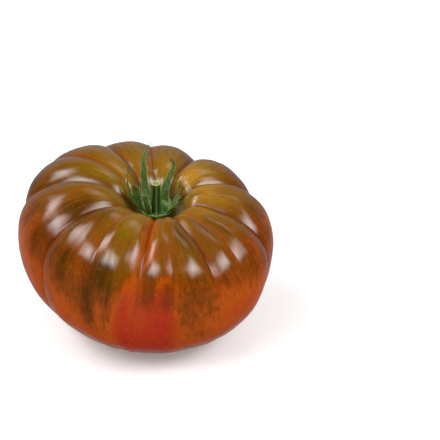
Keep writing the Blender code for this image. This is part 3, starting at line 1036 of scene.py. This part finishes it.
@dataclass
class Calyx:
    """The sepals around the stem's foot, each its own piece."""

    base: float  # the height of the collar's underside
    thickness: float = 0.45
    midrib: float = 0.22  # how proud it stands at the foot
    roots: tuple[tuple[float, float], ...] = ((3.4, 1.5), (5.4, 2.1))  # radius and height, on the collar
    steps: int = 72
    around: int = 28
    thread_steps: int = 12
    frayed_threads: int = 8
    hairs: int = 110
    hair_length: tuple[float, float] = (0.35, 0.8)
    plans: tuple[SepalPlan, ...] = (
        SepalPlan(
            "sepal_front_right", 44, 1.7, 300, 62,
            (
                (7.4, 56, 4.8), (9.3, 70, 6.2), (11.2, 80, 7.4), (12.6, 88, 8.6), (13.3, 97, 10.2),
                (12.5, 105, 11.7),
            ),
            0.5, 0.1, tip_width=0.3, taper=1.6, foot_width=2.6,
        ),
        SepalPlan(
            "sepal_right", 95, 3.2, 100, 30,
            ((7.8, 107, 3.5), (9.6, 113, 5.0), (11.0, 118, 6.5), (11.6, 127, 9.2)),
            0.6, 0.15, Tip.FRAYED,
            wisps=(Wisp(((10.4, 116, 6.3), (11.6, 112, 8.6), (11.4, 105, 10.8), (10.4, 103, 12.4))),),
        ),
        SepalPlan(
            "sepal_back_right", 144, 4.5, 150, 0,
            ((8.1, 153, 5.4), (10.4, 153, 8.4), (12.8, 150, 11.7), (14.8, 149, 15.0), (15.2, 156, 17.3)),
            0.6, 0.2, Tip.FRAYED, taper=2.0,
        ),
        SepalPlan(
            "sepal_back_left", 202, 3.7, 200, 0,
            ((8.3, 208, 5.1), (10.7, 206, 8.9), (12.9, 202, 13.2), (15.5, 198, 17.4), (18.4, 189, 20.6)),
            0.5, 0.2, Tip.FRAYED, tip_width=0.6, taper=2.8,
        ),
        SepalPlan(
            "sepal_left", 248, 2.8, 250, 0,
            ((9.0, 255, 5.1), (11.3, 254, 8.4), (12.5, 247, 12.9), (13.1, 236, 18.3)),
            0.6, 0.15, Tip.FRAYED, taper=1.6, narrowed=0.85, foot_width=6.4,
        ),
        SepalPlan(
            "sepal_front_left", 290, 4.6, 325, 0,
            ((7.1, 288, 6.0), (8.0, 281, 9.3), (8.4, 277, 12.3), (9.1, 276, 14.1)),
            0.7, 0.25, tip_width=3.0, taper=6.0,
        ),
        SepalPlan(
            "sepal_front", 320, 3.6, 330, 0,
            ((6.7, 328, 5.7), (7.0, 322, 9.0), (6.7, 317, 10.8), (7.7, 312, 11.4)),
            1.1, 0.2, tip_width=2.4, taper=6.0, foot_width=4.2,
        ),
    )
    finish: LeafFinish = LeafFinish()

    @classmethod
    def from_frame(cls) -> "Calyx":
        """The calyx on the stem's foot, where the frame has it."""
        return cls(base=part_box("stem")[0].z / MM)

    @staticmethod
    def level(azimuth: float, tilt: float) -> np.ndarray:
        """The unit vector to that azimuth's right-hand side, tilted up by an angle in degrees."""
        turn, rise = np.radians((azimuth, tilt))
        return np.array([np.cos(turn) * np.cos(rise), np.sin(turn) * np.cos(rise), np.sin(rise)])

    def line(self, route: Route) -> np.ndarray:
        """A route's points, as rows."""
        radius, azimuth, height = np.array(route, float).T
        return turned(radius, azimuth, self.base + height)

    def blade(self, plan: SepalPlan) -> Shell:
        """One sepal as a closed ribbon.

        Its middle line runs through the route. Across it the blade is an arc of half-angle b, so that a
        point at x from -1 to 1 lies w/2 sin(bx)/b along the width and w/2 (1 - cos(bx))/b off the line.

        Args:
            plan: the sepal.

        Returns:
            The shell.
        """
        feet = tuple((radius, plan.foot_azimuth, height) for radius, height in self.roots)
        line = self.line(feet + plan.route)
        u = np.linspace(0, 1, self.steps)
        middle = through(line, u)
        along = unit(through(line, np.minimum(u + 0.01, 1)) - through(line, np.maximum(u - 0.01, 0)))
        settled = smoothstep(0.2, 0.6, u)[:, None]
        foot_across = self.level(plan.foot_azimuth, 0)
        across = foot_across + (self.level(plan.across_azimuth, plan.across_tilt) - foot_across) * settled
        across = unit(across - along * np.sum(along * across, axis=-1, keepdims=True))
        normal = np.cross(across, along)
        blade = plan.foot_width + (plan.width - plan.foot_width) * smoothstep(0.1, plan.narrowed, u)
        width = plan.tip_width + (blade - plan.tip_width) * (1 - u**plan.taper)
        width = width * (0.75 + 0.25 * smoothstep(0.0, 0.12, u))
        ragged = np.sin(31 * u + plan.foot_azimuth) + 0.7 * np.sin(53 * u + 2 * plan.foot_azimuth)
        width = width * (1 + 0.05 * ragged * smoothstep(0.25, 0.6, u))
        phi = np.arange(self.around) * 2 * np.pi / self.around
        x, side = np.cos(phi), np.sin(phi)
        bend = (0.25 + (plan.bend - 0.25) * smoothstep(0.1, 0.6, u))[:, None]
        half = 0.5 * width[:, None]
        sideways = half * np.sin(bend * x) / bend
        lift = -half * (1 - np.cos(bend * x)) / bend
        wave = np.sin(2 * np.pi * (5.5 * u[:, None] + 0.23 * np.sign(x))) * np.abs(x) ** 3
        lift = lift + plan.ruffle * wave * np.sin(np.pi * u[:, None])
        lift = lift + self.midrib * bell(x, 0.16) * (1 - u[:, None])
        thick = self.thickness * (1 - 0.55 * u[:, None]) * (1 - 0.75 * x**2)
        lift = lift + 0.5 * thick * side
        rings = middle[:, None] + across[:, None] * sideways[..., None] + normal[:, None] * lift[..., None]
        shape = (self.steps, self.around)
        grain = np.stack(np.broadcast_arrays(0.5 * x * width[:, None], 20 * u[:, None], np.zeros(shape)), -1)
        marks = {
            "upper": np.broadcast_to(smoothstep(-0.3, 0.3, -side), shape),
            "edge": np.broadcast_to(np.abs(x), shape),
            "along": np.broadcast_to(u[:, None], shape),
            "flow": grain,
        }
        return Shell(rings, marks)

    def thread(self, line: np.ndarray, width: float) -> Shell:
        """A dried thread: a tube of six sides along the line, which thins to a third at its end.

        Args:
            line: the points that it runs through, as rows.
            width: how thick it is at its root.

        Returns:
            The shell.
        """
        u = np.linspace(0, 1, self.thread_steps)
        middle = through(line, u)
        along = unit(np.gradient(middle, axis=0))
        across = unit(np.cross(along, ASKEW))
        phi = np.arange(6) * np.pi / 3
        beside = np.cross(along, across)
        circle = across[:, None] * np.cos(phi)[:, None] + beside[:, None] * np.sin(phi)[:, None]
        rings = middle[:, None] + circle * (0.5 * width * (1 - 0.67 * u))[:, None, None]
        ones = np.ones((self.thread_steps, 6))
        marks = {"upper": ones, "edge": 0.8 * ones, "along": ones, "flow": rings}
        return Shell(rings, marks)

    def fray(self, plan: SepalPlan) -> list[Shell]:
        """The torn threads of a dried tip: each leaves the blade near its end and curls over by chance."""
        chance = np.random.default_rng(int(plan.foot_azimuth))
        line = self.line(plan.route)
        ahead = unit(line[-1] - line[-2])
        threads = []
        for start in np.linspace(0.80, 0.99, self.frayed_threads):
            root = through(line, np.array([start]))[0]
            way = unit(ahead + chance.normal(0, 0.6, 3))
            curl = unit(chance.normal(0, 1, 3)) * chance.uniform(0.8, 1.8)
            reach = chance.uniform(1.4, 3.0) * np.linspace(0, 1, 5)[:, None]
            threads.append(self.thread(root + way * reach + curl * (reach / 2.6) ** 2, 0.5))
        return threads

    def shells(self, plan: SepalPlan) -> list[Shell]:
        """A sepal's blade with its threads."""
        made = [self.blade(plan), *(self.thread(self.line(wisp.route), wisp.width) for wisp in plan.wisps)]
        if plan.tip is Tip.FRAYED:
            made += self.fray(plan)
        return made

    def down(self) -> list[Tuft]:
        """The down on the sepals' blades, placed by chance."""
        chance = np.random.default_rng(3)
        tufts = []
        for plan in self.plans:
            blade = self.blade(plan)
            ring = chance.integers(self.steps // 6, self.steps - 4, self.hairs)
            step = chance.integers(0, self.around, self.hairs)
            way = blade.normals()[ring, step] + chance.normal(0, 0.45, (self.hairs, 3))
            length = chance.uniform(*self.hair_length, (self.hairs, 1))
            tufts.append(Tuft(blade.rings[ring, step], unit(way) * length))
        return tufts

    def build(self) -> list[bpy.types.Object]:
        """Makes every sepal and dresses it."""
        material = self.finish.material()
        made = []
        for plan in self.plans:
            piece = make_piece(plan.node + "_leaf", self.shells(plan), material)
            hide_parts(plan.node)
            made.append(piece)
        made.append(make_piece("calyx_down", self.down(), HairFinish().material()))
        return made


# --- The studio ---


@dataclass(frozen=True)
class Softbox:
    """A soft light that faces the fruit. Radiance is in times a white surface in the scene.

    It fades towards its edges: it is a stack of equally bright panes, one behind another, with one pane for
    each number in panes, that many times the box's size.
    """

    name: str
    azimuth: float
    elevation: float
    width: float  # metres
    height: float
    radiance: float
    panes: tuple[float, ...] = (0.4, 0.6, 0.8, 1.0, 1.25, 1.5, 1.75)
    mirrored: bool = True  # whether the glossy skin shows it
    distance: float = 0.9


@dataclass
class Studio:
    """A pale floor, soft lights and the camera."""

    boxes: tuple[Softbox, ...] = (
        Softbox("key_right", 62, 45, 0.46, 0.30, 11.0),
        Softbox("fill_left", 314, 49, 0.38, 0.28, 11.5),
        Softbox("fill_back_left", 248, 46, 0.38, 0.26, 9.0),
        Softbox("back_right", 150, 50, 0.36, 0.22, 2.0),
        Softbox("ceiling", 0, 90, 1.2, 1.2, 0.55, (1.0,), mirrored=False),
    )
    ambient: float = 0.03
    backdrop: float = 0.30
    pane_gap: float = 0.008
    lit_height: float = 0.035  # the height that the lights face
    aim: tuple[float, float, float] = (0.0258, 0.0, 0.0499)
    camera_place: tuple[float, float, float] = (0.0, -0.7753, 0.5830)
    lens: float = 189.6
    floor_half: float = 3.0
    floor_level: float = -0.0002

    def light(self, box: Softbox) -> None:
        """Hangs one softbox's panes. A flat light's power is pi times its radiance and area."""
        ground, up = np.cos(np.radians(box.elevation)), np.sin(np.radians(box.elevation))
        way = Vector(turned(np.array(ground), np.array(box.azimuth), np.array(up)))
        middle = Vector((0, 0, self.lit_height))
        for depth, grow in enumerate(box.panes):
            lamp = bpy.data.lights.new(box.name, "AREA")
            lamp.shape = "RECTANGLE"
            lamp.size, lamp.size_y = box.width * grow, box.height * grow
            lamp.energy = np.pi * box.radiance / len(box.panes) * lamp.size * lamp.size_y
            holder = bpy.data.objects.new(box.name, lamp)
            holder.location = middle + way * (box.distance + self.pane_gap * depth)
            holder.rotation_euler = (-way).to_track_quat("-Z", "Y").to_euler()
            holder.visible_glossy = box.mirrored
            bpy.context.scene.collection.objects.link(holder)

    def floor(self) -> None:
        """Lays the floor just under the fruit."""
        half, low = self.floor_half, self.floor_level
        corners = [(-half, -half, low), (half, -half, low), (half, half, low), (-half, half, low)]
        mesh = bpy.data.meshes.new("floor")
        mesh.from_pydata(corners, [], [(0, 1, 2, 3)])
        mesh.materials.append(FloorFinish().material())
        piece = bpy.data.objects.new("floor", mesh)
        piece.visible_glossy = False
        bpy.context.scene.collection.objects.link(piece)

    def sky(self) -> None:
        """Sets the light of the room, which is dark in front of the fruit and paler low down behind it."""
        g = Graph(bpy.data.worlds.new("room"))
        way = g.node("SeparateXYZ", Vector=g.node("TexCoord").outputs["Generated"])
        behind = g.span(way.outputs["Y"], 0.2, 0.9, 0.0, self.backdrop)
        low = g.span(way.outputs["Z"], 0.15, 0.6, 1.0, 0.0)
        back = g.node("Background", Strength=g.math("MULTIPLY_ADD", behind, low, self.ambient))
        back.inputs["Color"].default_value = (1.0, 1.0, 1.0, 1.0)
        g.tree.links.new(back.outputs[0], g.node("OutputWorld").inputs[0])
        bpy.context.scene.world = g.owner

    def camera(self) -> None:
        """Sets the camera, which looks down on the front of the fruit."""
        data = bpy.data.cameras.new("camera")
        data.lens = self.lens
        data.sensor_width = 36.0
        holder = bpy.data.objects.new("camera", data)
        holder.location = self.camera_place
        holder.rotation_euler = (Vector(self.aim) - holder.location).to_track_quat("-Z", "Y").to_euler()
        bpy.context.scene.collection.objects.link(holder)
        bpy.context.scene.camera = holder

    def build(self) -> None:
        """Sets up the whole studio."""
        self.camera()
        self.floor()
        self.sky()
        for box in self.boxes:
            self.light(box)
        bpy.context.scene.view_settings.view_transform = "Standard"


def main() -> None:
    """Builds the tomato and the studio around it."""
    logging.basicConfig(level=logging.INFO, format="%(message)s")
    Studio().build()
    Fruit().build()
    Stem.from_frame().build()
    Calyx.from_frame().build()


if __name__ == "__main__":
    main()
